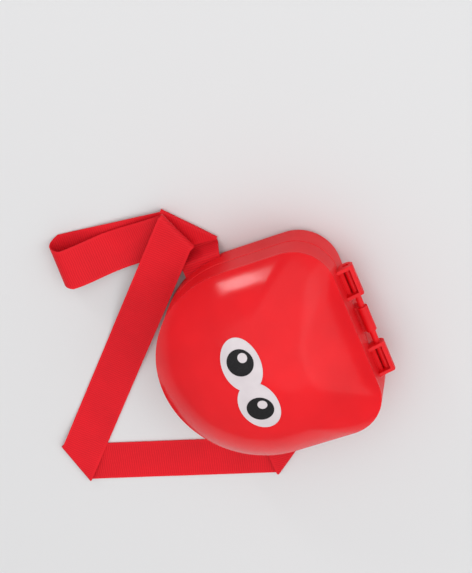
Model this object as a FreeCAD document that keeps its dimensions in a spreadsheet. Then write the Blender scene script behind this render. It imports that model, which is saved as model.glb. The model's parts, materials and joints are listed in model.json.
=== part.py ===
"""Small moulded clamshell case for a child's toy set: domed lid, tray base, hinge, latch, eye sticker, strap.

Millimetres. The case lies on its flat back on z = 0 with its dome up, the hinge on +Y and the latch on -Y.
"""
import FreeCAD, Part
import math
import os

import Sketcher

DRIVING_SIZES = (
    ("case_width", 98, "outside width of both halves, and the diameter of the round end"),
    ("case_length", 99, "outside length from the round end to the hinge side"),
    ("corner_radius", 20, "outside radius of the two corners beside the hinge"),
    ("wall", 2, "wall of both halves"),
    ("base_depth", 16.5, "height of the base up to its rim"),
    ("base_edge_radius", 4, "rounding round the flat back"),
    ("lid_wall_depth", 13.5, "height of the lid's straight wall"),
    ("dome_rise", 23.5, "height of the dome above the lid's straight wall"),
    ("dome_edge_radius", 0.8, "rounding between the lid's wall and its dome"),
    ("seam_gap", 0.2, "gap between the two rims"),
    ("rim_bevel", 0.45, "bevel on both halves' outside edges where they meet"),
    ("tongue_thickness", 0.8, "lip on the base's rim that enters the lid"),
    ("tongue_height", 2.4, "height of that lip"),
    ("tongue_clearance", 0.25, "room round the lip inside the lid"),
    ("hinge_offset", 3.9, "hinge axis outside the hinge side"),
    ("pin_diameter", 3, "hinge bar"),
    ("pin_running_clearance", 0.06, "radial room of the bar in the lid's hooks"),
    ("pin_recess", 0.5, "bar end inside the hook's outer face"),
    ("pin_chamfer", 0.4, "bevel on the bar's ends"),
    ("hook_start", 13, "inner face of a lid hook from the middle"),
    ("hook_length", 15.5, "length of a lid hook along the hinge"),
    ("hook_radius", 3.6, "outer radius of a lid hook round the hinge axis"),
    ("hook_lip", 2.4, "height of a hook's outer wall above the hinge axis"),
    ("hook_root", 6, "height of a hook's top at the lid's wall above the hinge axis"),
    ("hook_end_wall", 1.6, "end walls of a hook"),
    ("hook_channel_clearance", 0.4, "room between the bar and a hook's sides and floor"),
    ("hook_ledge", 2, "height of a hook's ledge, between the bar and the lid's wall, above the hinge axis"),
    ("hook_lip_rounding", 1, "rounding along a hook's outer edge"),
    ("knuckle_length", 13, "base's middle lug along the hinge"),
    ("knuckle_radius", 2.5, "outer radius of the middle lug"),
    ("knuckle_drop", 8, "foot of the middle lug's gusset below the hinge axis"),
    ("knuckle_rim_clearance", 0.3, "top of the gusset below the base's rim"),
    ("latch_width", 18, "lid's latch tab"),
    ("latch_thickness", 1.8, "tab wall"),
    ("latch_gap", 0.35, "room between the tab and the base"),
    ("latch_drop", 9, "tab below the lid's rim"),
    ("latch_root_height", 5, "tab's root on the lid's wall"),
    ("latch_lip_reach", 1.3, "thumb lip beyond the tab"),
    ("latch_lip_height", 1.6, "thumb lip's height"),
    ("catch_width", 8, "wedge on the base under the latch"),
    ("catch_height", 3.2, "wedge height"),
    ("catch_drop", 6.2, "wedge's flat underside below the base's rim"),
    ("catch_reach", 1.8, "wedge beyond the base's wall"),
    ("window_clearance", 0.5, "room round the wedge in the tab's window"),
    ("strap_width", 20, "ribbon"),
    ("strap_thickness", 0.6, "ribbon"),
    ("strap_clearance", 0.4, "room round the ribbon in its slot"),
    ("strap_lift", 0.2, "ribbon's underside above the table"),
    ("slot_height", 7, "middle of the strap slots above the back"),
    ("slot_shift", 13, "strap slots from the middle of the case towards the round end"),
    ("slot_reach", 10, "depth of the slot cut inward from the widest place"),
    ("drop_start", 0.8, "ribbon runs level this far beyond the widest place"),
    ("drop_length", 5.5, "length over which the ribbon comes down to the table"),
    ("fold_radius", 1, "bend of a fold, at the middle of the ribbon"),
    ("loop_radius", 4.5, "bend of the open fold at the far end of the doubled stretch"),
    ("crossing_radius", 2, "bend of the fold that crosses over the other layers"),
    ("stop_diameter", 3.8, "rolled and sewn end of the ribbon"),
    ("eye_length", 26.2, "one white oval along the eye line"),
    ("eye_height", 18.9, "one white oval across the eye line"),
    ("eye_overlap", 4.2, "how far the two ovals run into each other"),
    ("eye_shift", 1.5, "eye line from the middle of the case towards the round end"),
    ("pupil_diameter", 12.8, "black disc"),
    ("pupil_outset", 1.5, "pupil's middle outside its oval's middle"),
    ("glint_diameter", 4.6, "white dot on a pupil"),
    ("glint_across", 2, "dot from its pupil's middle along the eye line"),
    ("glint_up", 1.9, "dot from its pupil's middle towards the hinge"),
    ("sticker_thickness", 0.2, "white film"),
    ("print_thickness", 0.1, "black and white layers on the film"),
    ("glue_thickness", 0.03, "adhesive under the film and between its layers"),
    ("overrun", 5, "how far cuts run past what they cut"),
)

# Places across the dome where its level lines are drawn, as shares of the outline.
DOME_SHARES = (1.0, 0.92, 0.8, 0.64, 0.45, 0.24, 0.05)

# How far the dome's level lines go from the case's corners, at its edge, to a full round, at its top.
TOP_ROUND_SHARE = 0.95

# The ribbon's folds in order: each one's side of the case, then, as shares of the ribbon's width, how far it
# lies beyond where the ribbon reaches the table, and how far from the slot towards the round end.
FOLD_PLACE_SHARES = (
    (-1, 0.58415, 0),
    (-1, 0.8855, 3.13525),
    (-1, 0.58415, 0.3006),
    (1, -1.0696, 5.2006),
    (1, 0.42, 0),
)
FOLD_STEPS = 8
DROP_STEPS = 8

# How far the ribbon moves sideways, towards the case, inside the open fold: a share of the ribbon's width.
LOOP_SLIDE_SHARE = 0.28175

doc = FreeCAD.newDocument("toy_case")
sheet = doc.addObject("Spreadsheet::Sheet", "Sizes")
for row, (alias, size, meaning) in enumerate(DRIVING_SIZES, start=1):
    sheet.set(f"A{row}", str(size))
    sheet.setAlias(f"A{row}", alias)
    sheet.set(f"B{row}", meaning)
doc.recompute()

HALF = "(Sizes.case_width / 2)"
HINGE_SIDE = "(Sizes.case_length / 2)"
ROUND_MIDDLE = f"({HALF} - {HINGE_SIDE})"
ROUNDEST = f"min({HALF}; {HINGE_SIDE} - {ROUND_MIDDLE})"
LID_RIM = "(Sizes.base_depth + Sizes.seam_gap)"
DOME_EDGE = f"({LID_RIM} + Sizes.lid_wall_depth)"
AXIS_Y = f"({HINGE_SIDE} + Sizes.hinge_offset)"
AXIS_Z = "Sizes.base_depth"
HOOK_END = "(Sizes.hook_start + Sizes.hook_length)"
LATCH_INNER = f"({HALF} + Sizes.latch_gap)"
LATCH_OUTER = f"({LATCH_INNER} + Sizes.latch_thickness)"
CATCH_UNDER = "(Sizes.base_depth - Sizes.catch_drop)"


def number(expression):
    """The present value of an expression in the sheet's sizes."""
    return float(sheet.evalExpression(expression))


def size(alias):
    return number(f"Sizes.{alias}")


def make_body(name):
    body = doc.addObject("PartDesign::Body", name)
    body.Label = name
    return body


def origin_plane(body, role):
    return next(f for f in body.Origin.OriginFeatures if f.Role == role)


def make_sketch(body, name, role, offset="0"):
    """An empty sketch on one of the body's origin planes, moved along the plane's normal."""
    sketch = body.newObject("Sketcher::SketchObject", name)
    sketch.AttachmentSupport = [(origin_plane(body, role), "")]
    sketch.MapMode = "FlatFace"
    sketch.setExpression("AttachmentOffset.Base.z", offset)
    return sketch


def drive(sketch, kind, *arguments):
    """Adds a constraint whose last argument is the expression that drives it."""
    *where, expression = arguments
    index = sketch.addConstraint(Sketcher.Constraint(kind, *where, number(expression)))
    sketch.setExpression(f"Constraints[{index}]", expression)


def point(x, y):
    return FreeCAD.Vector(x, y, 0)


def arc_of(middle, radius, start, end):
    return Part.ArcOfCircle(Part.Circle(middle, FreeCAD.Vector(0, 0, 1), radius), start, end)


def draw_arch(sketch, half, middle, hinge_side, corner):
    """Half circle towards -Y, straight sides, and rounded corners beside the straight hinge side."""
    r, m, top, c = (number(e) for e in (half, middle, hinge_side, corner))
    first = sketch.addGeometry(arc_of(point(0, m), r, math.pi, 2 * math.pi))
    right = sketch.addGeometry(Part.LineSegment(point(r, m), point(r, top - c)))
    right_corner = sketch.addGeometry(arc_of(point(r - c, top - c), c, 0, math.pi / 2))
    across = sketch.addGeometry(Part.LineSegment(point(r - c, top), point(c - r, top)))
    left_corner = sketch.addGeometry(arc_of(point(c - r, top - c), c, math.pi / 2, math.pi))
    left = sketch.addGeometry(Part.LineSegment(point(-r, top - c), point(-r, m)))
    joints = (
        (first, 2, right, 1),
        (right, 2, right_corner, 1),
        (right_corner, 2, across, 1),
        (across, 2, left_corner, 1),
        (left_corner, 2, left, 1),
        (left, 2, first, 1),
    )
    for joint in joints:
        sketch.addConstraint(Sketcher.Constraint("Tangent", *joint))
    sketch.addConstraint(Sketcher.Constraint("PointOnObject", first, 3, -2))
    sketch.addConstraint(Sketcher.Constraint("Vertical", right))
    sketch.addConstraint(Sketcher.Constraint("Vertical", left))
    sketch.addConstraint(Sketcher.Constraint("Horizontal", across))
    sketch.addConstraint(Sketcher.Constraint("Equal", right_corner, left_corner))
    drive(sketch, "Radius", first, half)
    drive(sketch, "Radius", right_corner, corner)
    drive(sketch, "DistanceY", -1, 1, first, 3, middle)
    drive(sketch, "DistanceY", -1, 1, across, 1, hinge_side)


def draw_inset_arch(sketch, inset):
    """The case's outline drawn in by an inset."""
    draw_arch(sketch, f"({HALF} - ({inset}))", ROUND_MIDDLE, f"({HINGE_SIDE} - ({inset}))",
              f"(Sizes.corner_radius - ({inset}))")


def draw_polygon(sketch, corners):
    """A closed outline of straight edges whose corners are driven by pairs of expressions."""
    places = [point(number(x), number(y)) for x, y in corners]
    edges = [sketch.addGeometry(Part.LineSegment(places[i - 1], places[i])) for i in range(len(places))]
    for i, edge in enumerate(edges):
        following = edges[(i + 1) % len(edges)]
        sketch.addConstraint(Sketcher.Constraint("Coincident", edge, 2, following, 1))
    for edge, (x, y) in zip(edges, corners):
        drive(sketch, "DistanceX", -1, 1, edge, 2, x)
        drive(sketch, "DistanceY", -1, 1, edge, 2, y)


def draw_circle(sketch, x, y, radius):
    middle = point(number(x), number(y))
    circle = sketch.addGeometry(Part.Circle(middle, FreeCAD.Vector(0, 0, 1), number(radius)))
    drive(sketch, "DistanceX", -1, 1, circle, 3, x)
    drive(sketch, "DistanceY", -1, 1, circle, 3, y)
    drive(sketch, "Radius", circle, radius)


def draw_round_end_strip(sketch, inner, outer, width):
    """A strip of a ring round the round end, cut straight at both sides."""
    half, m = number(f"({width}) / 2"), number(ROUND_MIDDLE)
    near, far = number(inner), number(outer)
    lean_near, lean_far = math.asin(half / near), math.asin(half / far)
    down = 1.5 * math.pi
    inside = sketch.addGeometry(arc_of(point(0, m), near, down - lean_near, down + lean_near))
    outside = sketch.addGeometry(arc_of(point(0, m), far, down - lean_far, down + lean_far))
    ends = []
    for side in (-1, 1):
        top = point(side * half, m - near * math.cos(lean_near))
        bottom = point(side * half, m - far * math.cos(lean_far))
        ends.append(sketch.addGeometry(Part.LineSegment(top, bottom)))
    for end, corner in zip(ends, (1, 2)):
        sketch.addConstraint(Sketcher.Constraint("Coincident", end, 1, inside, corner))
        sketch.addConstraint(Sketcher.Constraint("Coincident", end, 2, outside, corner))
        sketch.addConstraint(Sketcher.Constraint("Vertical", end))
    sketch.addConstraint(Sketcher.Constraint("Coincident", inside, 3, outside, 3))
    sketch.addConstraint(Sketcher.Constraint("PointOnObject", inside, 3, -2))
    drive(sketch, "DistanceY", -1, 1, inside, 3, ROUND_MIDDLE)
    drive(sketch, "Radius", inside, inner)
    drive(sketch, "Radius", outside, outer)
    drive(sketch, "DistanceX", -1, 1, ends[0], 1, f"(-({width}) / 2)")
    drive(sketch, "DistanceX", -1, 1, ends[1], 1, f"(({width}) / 2)")


def extrude(body, kind, sketch, length, both_ways=False, reverse=False):
    """A Pad or Pocket of a sketch, which has to change the body's volume."""
    before = body.Shape.Volume if body.Tip else 0
    feature = body.newObject(f"PartDesign::{kind}", f"{sketch.Name}_{kind.lower()}")
    feature.Profile = sketch
    feature.setExpression("Length", length)
    feature.SideType = "Symmetric" if both_ways else "One side"
    feature.Reversed = reverse
    doc.recompute()
    if abs(body.Shape.Volume - before) < 1e-6:
        raise RuntimeError(f"{feature.Name} changes nothing")
    return feature


def mirror(body, originals):
    """Copies features to the other side of the middle plane."""
    copy = body.newObject("PartDesign::Mirrored", f"{originals[0].Name}_mirrored")
    copy.Originals = originals
    copy.MirrorPlane = (origin_plane(body, "YZ_Plane"), [""])
    body.Tip = copy
    doc.recompute()


def edges_where(shape, test):
    return [f"Edge{i}" for i, edge in enumerate(shape.Edges, start=1) if test(edge)]


def round_edges(body, kind, test, amount):
    """A Fillet or Chamfer on the edges of the body's present shape that pass a test."""
    base = body.Tip
    feature = body.newObject(f"PartDesign::{kind}", f"{base.Name}_{kind.lower()}")
    feature.Base = (base, edges_where(base.Shape, test))
    feature.setExpression("Radius" if kind == "Fillet" else "Size", amount)
    doc.recompute()


def lies_at(edge, height):
    """Whether an edge lies level at a height."""
    return abs(edge.BoundBox.ZMin - height) < 1e-4 and abs(edge.BoundBox.ZMax - height) < 1e-4


def loft_dome(body, kind, name, inset, rise):
    """Level lines of the dome from its edge to its top, on a circular profile, rounder higher up."""
    half = f"({HALF} - ({inset}))"
    arc_radius = f"(({half}^2 + ({rise})^2) / (2 * ({rise})))"
    sections = []
    for share in DOME_SHARES:
        level = f"{DOME_EDGE} + sqrt({arc_radius}^2 - ({share} * {half})^2) - ({arc_radius} - ({rise}))"
        sketch = make_sketch(body, f"{name}_level", "XY_Plane", level)
        rounder = f"(1 - {share}) * {TOP_ROUND_SHARE} * ({ROUNDEST} - Sizes.corner_radius)"
        draw_arch(sketch, f"({share} * {half})", f"({share} * {ROUND_MIDDLE})",
                  f"({share} * ({HINGE_SIDE} - ({inset})))",
                  f"({share} * (Sizes.corner_radius - ({inset}) + {rounder}))")
        sections.append(sketch)
    doc.recompute()
    dome = body.newObject(f"PartDesign::{kind}", name)
    dome.Profile = sections[0]
    dome.Sections = sections[1:]
    dome.Ruled = False
    doc.recompute()
    return dome


def make_base_shell():
    """Tray with a rounded back, a lip for the lid, the middle hinge lug, two strap slots and the catch."""
    body = make_body("base_shell")
    outline = make_sketch(body, "base_outline", "XY_Plane")
    draw_inset_arch(outline, "0")
    extrude(body, "Pad", outline, "Sizes.base_depth")
    round_edges(body, "Fillet", lambda e: lies_at(e, 0), "Sizes.base_edge_radius")
    rim = size("base_depth")
    round_edges(body, "Chamfer", lambda e: lies_at(e, rim), "Sizes.rim_bevel")

    hollow = make_sketch(body, "base_hollow", "XY_Plane", "Sizes.base_depth")
    draw_inset_arch(hollow, "Sizes.wall")
    extrude(body, "Pocket", hollow, "Sizes.base_depth - Sizes.wall")
    floor = size("wall")
    round_edges(body, "Fillet", lambda e: lies_at(e, floor), "Sizes.base_edge_radius - Sizes.wall")

    lip = make_sketch(body, "base_lip", "XY_Plane", "Sizes.base_depth")
    draw_inset_arch(lip, "Sizes.wall - Sizes.tongue_thickness")
    draw_inset_arch(lip, "Sizes.wall")
    extrude(body, "Pad", lip, "Sizes.tongue_height")

    lug = make_sketch(body, "base_knuckle", "YZ_Plane")
    draw_knuckle(lug)
    extrude(body, "Pad", lug, "Sizes.knuckle_length", both_ways=True)
    bore = make_sketch(body, "base_pin_bore", "YZ_Plane")
    draw_circle(bore, AXIS_Y, AXIS_Z, "(Sizes.pin_diameter / 2)")
    extrude(body, "Pocket", bore, "Sizes.knuckle_length + 2 * Sizes.overrun", both_ways=True)

    catch = make_sketch(body, "base_catch", "YZ_Plane")
    draw_polygon(catch, (
        (f"(Sizes.wall / 2 - {HINGE_SIDE})", CATCH_UNDER),
        (f"(Sizes.wall / 2 - {HINGE_SIDE})", f"({CATCH_UNDER} + Sizes.catch_height)"),
        (f"(-{HINGE_SIDE})", f"({CATCH_UNDER} + Sizes.catch_height)"),
        (f"(-{HINGE_SIDE} - Sizes.catch_reach)", f"({CATCH_UNDER} + Sizes.catch_height / 4)"),
        (f"(-{HINGE_SIDE} - Sizes.catch_reach)", CATCH_UNDER),
    ))
    extrude(body, "Pad", catch, "Sizes.catch_width", both_ways=True)

    slot_room = "(Sizes.strap_thickness / 2 + Sizes.strap_clearance)"
    slot_side = "(Sizes.strap_width / 2 + Sizes.strap_clearance)"
    slot = make_sketch(body, "strap_slot", "XY_Plane", f"Sizes.slot_height + {slot_room}")
    draw_polygon(slot, (
        (f"({HALF} - Sizes.slot_reach)", f"(-Sizes.slot_shift - {slot_side})"),
        (f"({HALF} + Sizes.overrun)", f"(-Sizes.slot_shift - {slot_side})"),
        (f"({HALF} + Sizes.overrun)", f"(-Sizes.slot_shift + {slot_side})"),
        (f"({HALF} - Sizes.slot_reach)", f"(-Sizes.slot_shift + {slot_side})"),
    ))
    cut = extrude(body, "Pocket", slot, f"2 * {slot_room}")
    mirror(body, [cut])
    return body


def draw_knuckle(sketch):
    """Round lug on a gusset that stands on the base's hinge side, below the lid's rim."""
    y, z, r = number(AXIS_Y), number(AXIS_Z), size("knuckle_radius")
    foot, rim_drop = number(f"({HINGE_SIDE} - Sizes.wall / 2)"), size("knuckle_rim_clearance")
    low = z - size("knuckle_drop")
    meet = point(y - math.sqrt(r * r - rim_drop * rim_drop), z - rim_drop)
    turn = math.pi + math.asin(rim_drop / r)
    barrel = sketch.addGeometry(arc_of(point(y, z), r, -math.pi / 2, turn))
    shelf = sketch.addGeometry(Part.LineSegment(meet, point(foot, z - rim_drop)))
    back = sketch.addGeometry(Part.LineSegment(point(foot, z - rim_drop), point(foot, low)))
    gusset = sketch.addGeometry(Part.LineSegment(point(foot, low), point(y, z - r)))
    for joint in ((barrel, 2, shelf, 1), (shelf, 2, back, 1), (back, 2, gusset, 1), (gusset, 2, barrel, 1)):
        sketch.addConstraint(Sketcher.Constraint("Coincident", *joint))
    sketch.addConstraint(Sketcher.Constraint("Horizontal", shelf))
    sketch.addConstraint(Sketcher.Constraint("Vertical", back))
    sketch.addConstraint(Sketcher.Constraint("Vertical", barrel, 3, barrel, 1))
    drive(sketch, "Radius", barrel, "Sizes.knuckle_radius")
    drive(sketch, "DistanceX", -1, 1, barrel, 3, AXIS_Y)
    drive(sketch, "DistanceY", -1, 1, barrel, 3, AXIS_Z)
    drive(sketch, "DistanceX", -1, 1, back, 1, f"({HINGE_SIDE} - Sizes.wall / 2)")
    drive(sketch, "DistanceY", -1, 1, back, 1, f"({AXIS_Z} - Sizes.knuckle_rim_clearance)")
    drive(sketch, "DistanceY", -1, 1, back, 2, f"({AXIS_Z} - Sizes.knuckle_drop)")


def draw_hook(sketch):
    """Hook section: a round belly under the hinge axis, an outer wall, and a top sloping up to the lid."""
    y, z, r = number(AXIS_Y), number(AXIS_Z), size("hook_radius")
    root, rim = number(f"({HINGE_SIDE} - Sizes.wall / 2)"), size("seam_gap")
    meet = point(y - math.sqrt(r * r - rim * rim), z + rim)
    turn = math.pi - math.asin(rim / r)
    belly = sketch.addGeometry(arc_of(point(y, z), r, turn, 2 * math.pi))
    lip, high = point(y + r, z + size("hook_lip")), point(root, z + size("hook_root"))
    outer = sketch.addGeometry(Part.LineSegment(point(y + r, z), lip))
    top = sketch.addGeometry(Part.LineSegment(lip, high))
    back = sketch.addGeometry(Part.LineSegment(high, point(root, z + rim)))
    under = sketch.addGeometry(Part.LineSegment(point(root, z + rim), meet))
    joints = (
        (belly, 2, outer, 1),
        (outer, 2, top, 1),
        (top, 2, back, 1),
        (back, 2, under, 1),
        (under, 2, belly, 1),
    )
    for joint in joints:
        sketch.addConstraint(Sketcher.Constraint("Coincident", *joint))
    sketch.addConstraint(Sketcher.Constraint("Vertical", outer))
    sketch.addConstraint(Sketcher.Constraint("Vertical", back))
    sketch.addConstraint(Sketcher.Constraint("Horizontal", under))
    sketch.addConstraint(Sketcher.Constraint("Horizontal", belly, 3, belly, 2))
    drive(sketch, "Radius", belly, "Sizes.hook_radius")
    drive(sketch, "DistanceX", -1, 1, belly, 3, AXIS_Y)
    drive(sketch, "DistanceY", -1, 1, belly, 3, AXIS_Z)
    drive(sketch, "DistanceY", -1, 1, outer, 2, f"({AXIS_Z} + Sizes.hook_lip)")
    drive(sketch, "DistanceX", -1, 1, back, 1, f"({HINGE_SIDE} - Sizes.wall / 2)")
    drive(sketch, "DistanceY", -1, 1, back, 1, f"({AXIS_Z} + Sizes.hook_root)")
    drive(sketch, "DistanceY", -1, 1, back, 2, LID_RIM)


def draw_hook_recess(sketch, inner, outer):
    """The part of a hook between its end walls, from one place across the hinge to another."""
    draw_polygon(sketch, (
        ("(Sizes.hook_start + Sizes.hook_end_wall)", inner),
        (f"({HOOK_END} - Sizes.hook_end_wall)", inner),
        (f"({HOOK_END} - Sizes.hook_end_wall)", outer),
        ("(Sizes.hook_start + Sizes.hook_end_wall)", outer),
    ))


def make_lid_shell():
    """Domed cover with a straight wall, a rabbet for the base's lip, two hinge hooks and the latch tab."""
    body = make_body("lid_shell")
    outline = make_sketch(body, "lid_outline", "XY_Plane", LID_RIM)
    draw_inset_arch(outline, "0")
    extrude(body, "Pad", outline, "Sizes.lid_wall_depth")
    dome = loft_dome(body, "AdditiveLoft", "dome", "0", "Sizes.dome_rise")
    edge = number(DOME_EDGE)
    round_edges(body, "Fillet", lambda e: lies_at(e, edge), "Sizes.dome_edge_radius")
    rim = number(LID_RIM)
    round_edges(body, "Chamfer", lambda e: lies_at(e, rim), "Sizes.rim_bevel")

    hollow = make_sketch(body, "lid_hollow", "XY_Plane", LID_RIM)
    draw_inset_arch(hollow, "Sizes.wall")
    extrude(body, "Pocket", hollow, "Sizes.lid_wall_depth", reverse=True)
    loft_dome(body, "SubtractiveLoft", "dome_hollow", "Sizes.wall", "(Sizes.dome_rise - Sizes.wall)")
    rabbet = make_sketch(body, "lid_rabbet", "XY_Plane", LID_RIM)
    draw_inset_arch(rabbet, "Sizes.wall - Sizes.tongue_thickness - Sizes.tongue_clearance")
    extrude(body, "Pocket", rabbet, "Sizes.tongue_height + Sizes.tongue_clearance", reverse=True)

    hook = make_sketch(body, "lid_hook", "YZ_Plane", "Sizes.hook_start")
    draw_hook(hook)
    hook_pad = extrude(body, "Pad", hook, "Sizes.hook_length")
    channel = make_sketch(body, "hook_channel", "XY_Plane", f"{AXIS_Z} + Sizes.hook_root + Sizes.overrun")
    channel_side = "(Sizes.pin_diameter / 2 + Sizes.hook_channel_clearance)"
    draw_hook_recess(channel, f"({AXIS_Y} - {channel_side})", f"({AXIS_Y} + {channel_side})")
    channel_cut = extrude(body, "Pocket", channel, f"Sizes.hook_root + Sizes.overrun + {channel_side}")
    ledge = make_sketch(body, "hook_ledge_recess", "XY_Plane", f"{AXIS_Z} + Sizes.hook_root + Sizes.overrun")
    draw_hook_recess(ledge, HINGE_SIDE, AXIS_Y)
    ledge_cut = extrude(body, "Pocket", ledge, "Sizes.hook_root + Sizes.overrun - Sizes.hook_ledge")
    mirror(body, [hook_pad, channel_cut, ledge_cut])
    bore = make_sketch(body, "hook_pin_bore", "YZ_Plane")
    draw_circle(bore, AXIS_Y, AXIS_Z, "(Sizes.pin_diameter / 2 + Sizes.pin_running_clearance)")
    extrude(body, "Pocket", bore, f"2 * ({HOOK_END} + Sizes.overrun)", both_ways=True)
    outer_y, lip_z = number(f"{AXIS_Y} + Sizes.hook_radius"), number(f"{AXIS_Z} + Sizes.hook_lip")
    round_edges(body, "Fillet", lambda e: lies_at(e, lip_z) and abs(e.BoundBox.YMin - outer_y) < 1e-4,
                "Sizes.hook_lip_rounding")

    root = make_sketch(body, "latch_root", "XY_Plane", LID_RIM)
    draw_round_end_strip(root, f"({HALF} - Sizes.wall / 4)", LATCH_OUTER, "Sizes.latch_width")
    extrude(body, "Pad", root, "Sizes.latch_root_height")
    tab = make_sketch(body, "latch_tab", "XY_Plane", LID_RIM)
    draw_round_end_strip(tab, LATCH_INNER, LATCH_OUTER, "Sizes.latch_width")
    extrude(body, "Pad", tab, "Sizes.latch_drop", reverse=True)
    lip = make_sketch(body, "latch_lip", "XY_Plane", f"{LID_RIM} - Sizes.latch_drop")
    draw_round_end_strip(lip, LATCH_INNER, f"({LATCH_OUTER} + Sizes.latch_lip_reach)", "Sizes.latch_width")
    extrude(body, "Pad", lip, "Sizes.latch_lip_height")
    window = make_sketch(body, "latch_window", "XZ_Plane")
    window_side = "(Sizes.catch_width / 2 + Sizes.window_clearance)"
    draw_polygon(window, (
        (f"(-{window_side})", f"({CATCH_UNDER} - Sizes.window_clearance)"),
        (f"({window_side})", f"({CATCH_UNDER} - Sizes.window_clearance)"),
        (f"({window_side})", f"({CATCH_UNDER} + Sizes.catch_height + Sizes.window_clearance)"),
        (f"(-{window_side})", f"({CATCH_UNDER} + Sizes.catch_height + Sizes.window_clearance)"),
    ))
    latch_end = f"({HINGE_SIDE} + Sizes.latch_gap + Sizes.latch_thickness + Sizes.latch_lip_reach)"
    extrude(body, "Pocket", window, f"2 * ({latch_end} + Sizes.overrun)", both_ways=True)
    return body, dome


def make_hinge_pin():
    """Round bar pressed through the base's lug, on which both lid hooks turn."""
    body = make_body("hinge_pin")
    section = make_sketch(body, "pin_section", "YZ_Plane")
    draw_circle(section, AXIS_Y, AXIS_Z, "(Sizes.pin_diameter / 2)")
    extrude(body, "Pad", section, f"2 * ({HOOK_END} - Sizes.pin_recess)", both_ways=True)
    round_edges(body, "Chamfer", lambda e: isinstance(e.Curve, Part.Circle), "Sizes.pin_chamfer")
    return body


def add_feature(name, shape):
    feature = doc.addObject("Part::Feature", name)
    feature.Label = name
    feature.Shape = shape
    feature.Placement = FreeCAD.Placement()
    return feature


def dome_layer(dome_shape, plan_faces, lift, thickness):
    """Film of even height that follows the dome over one or more plan faces."""
    under = dome_shape.translated(FreeCAD.Vector(0, 0, lift))
    over = dome_shape.translated(FreeCAD.Vector(0, 0, lift + thickness))
    start = FreeCAD.Vector(0, 0, number(DOME_EDGE) + size("overrun"))
    height = FreeCAD.Vector(0, 0, size("dome_rise") + size("overrun"))
    columns = [face.translated(start).extrude(height) for face in plan_faces]
    column = columns[0].multiFuse(columns[1:]).removeSplitter() if len(columns) > 1 else columns[0]
    return over.common(column).cut(under)


def oval_face(x, y, length, height):
    oval = Part.Ellipse(point(x, y), length / 2, height / 2)
    return Part.Face(Part.Wire(oval.toShape()))


def disc_face(x, y, diameter):
    return Part.Face(Part.Wire(Part.makeCircle(diameter / 2, point(x, y))))


def make_eyes(dome):
    """White figure-eight film on the dome, black pupils on it, and a white glint on each pupil."""
    shape = dome.AddSubShape
    film, ink, glue = size("sticker_thickness"), size("print_thickness"), size("glue_thickness")
    sides = (-1, 1)
    eye_line = -size("eye_shift")
    oval_middle = (size("eye_length") - size("eye_overlap")) / 2
    ovals = [oval_face(s * oval_middle, eye_line, size("eye_length"), size("eye_height")) for s in sides]
    pupils = [s * (oval_middle + size("pupil_outset")) for s in sides]
    discs = [disc_face(x, eye_line, size("pupil_diameter")) for x in pupils]
    glint_line = eye_line + size("glint_up")
    dots = [disc_face(x - size("glint_across"), glint_line, size("glint_diameter")) for x in pupils]
    pupil_lift = glue + film + glue
    glint_lift = pupil_lift + ink + glue
    return [
        add_feature("eye_sticker", dome_layer(shape, ovals, glue, film)),
        add_feature("eye_pupils", dome_layer(shape, discs, pupil_lift, ink)),
        add_feature("eye_glints", dome_layer(shape, dots, glint_lift, ink)),
    ]


class Ribbon:
    """A flat ribbon followed section by section: each section is a thin rectangle across it."""

    def __init__(self, width, thickness):
        self.half_width = width / 2
        self.half_thickness = thickness / 2
        self.sections = []
        self.first_side_down = True
        self.first_edge_left = True

    def add(self, middle, across, normal):
        """One section: its middle, the vector to its first edge, and the vector to its first face."""
        a, b = middle + across, middle - across
        self.sections.append([a + normal, a - normal, b - normal, b + normal])

    def level(self, middle, ahead, slope=0.0):
        """A section square to the run, on a run that rises by slope."""
        left = FreeCAD.Vector(-ahead.y, ahead.x, 0)
        across = left * (self.half_width if self.first_edge_left else -self.half_width)
        lean = math.atan(slope)
        up = FreeCAD.Vector(-ahead.x * math.sin(lean), -ahead.y * math.sin(lean), math.cos(lean))
        face = -self.half_thickness if self.first_side_down else self.half_thickness
        self.add(middle, across, up * face)

    def fold(self, place, height, radius, before, after, upward=True, slide=FreeCAD.Vector()):
        """Turns the ribbon over on itself, along the line that sends one run's direction to the next."""
        out = (before - after).normalize()
        line = FreeCAD.Vector(-out.y, out.x, 0)
        turn = before.x * line.y - before.y * line.x
        if (turn > 0) != self.first_edge_left:
            line = line * -1
        across = line * (self.half_width / abs(turn))
        way = 1 if upward else -1
        face = self.half_thickness if self.first_side_down == upward else -self.half_thickness
        for step in range(FOLD_STEPS + 1):
            angle = math.pi * step / FOLD_STEPS
            radial = out * math.sin(angle) + FreeCAD.Vector(0, 0, -way * math.cos(angle))
            middle = FreeCAD.Vector(place.x, place.y, height + way * radius) + radial * radius
            self.add(middle + slide * (step / FOLD_STEPS), across, radial * face)
        self.first_side_down = not self.first_side_down
        self.first_edge_left = not self.first_edge_left

    def solid(self):
        """Closed solid through all the sections."""
        faces = [Part.Face(Part.makePolygon(s + s[:1])) for s in (self.sections[0], self.sections[-1])]
        for one, two in zip(self.sections, self.sections[1:]):
            for i in range(4):
                j = (i + 1) % 4
                near, far = Part.makeLine(one[i], one[j]), Part.makeLine(two[i], two[j])
                faces.append(Part.makeRuledSurface(near, far))
        shell = Part.makeCompound(faces)
        shell.sewShape()
        solid = Part.makeSolid(shell.Shells[0])
        if solid.Volume < 0:
            solid.reverse()
        return solid

    def length(self):
        middles = [(s[0] + s[2]) * 0.5 for s in self.sections]
        return sum((b - a).Length for a, b in zip(middles, middles[1:]))


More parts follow.
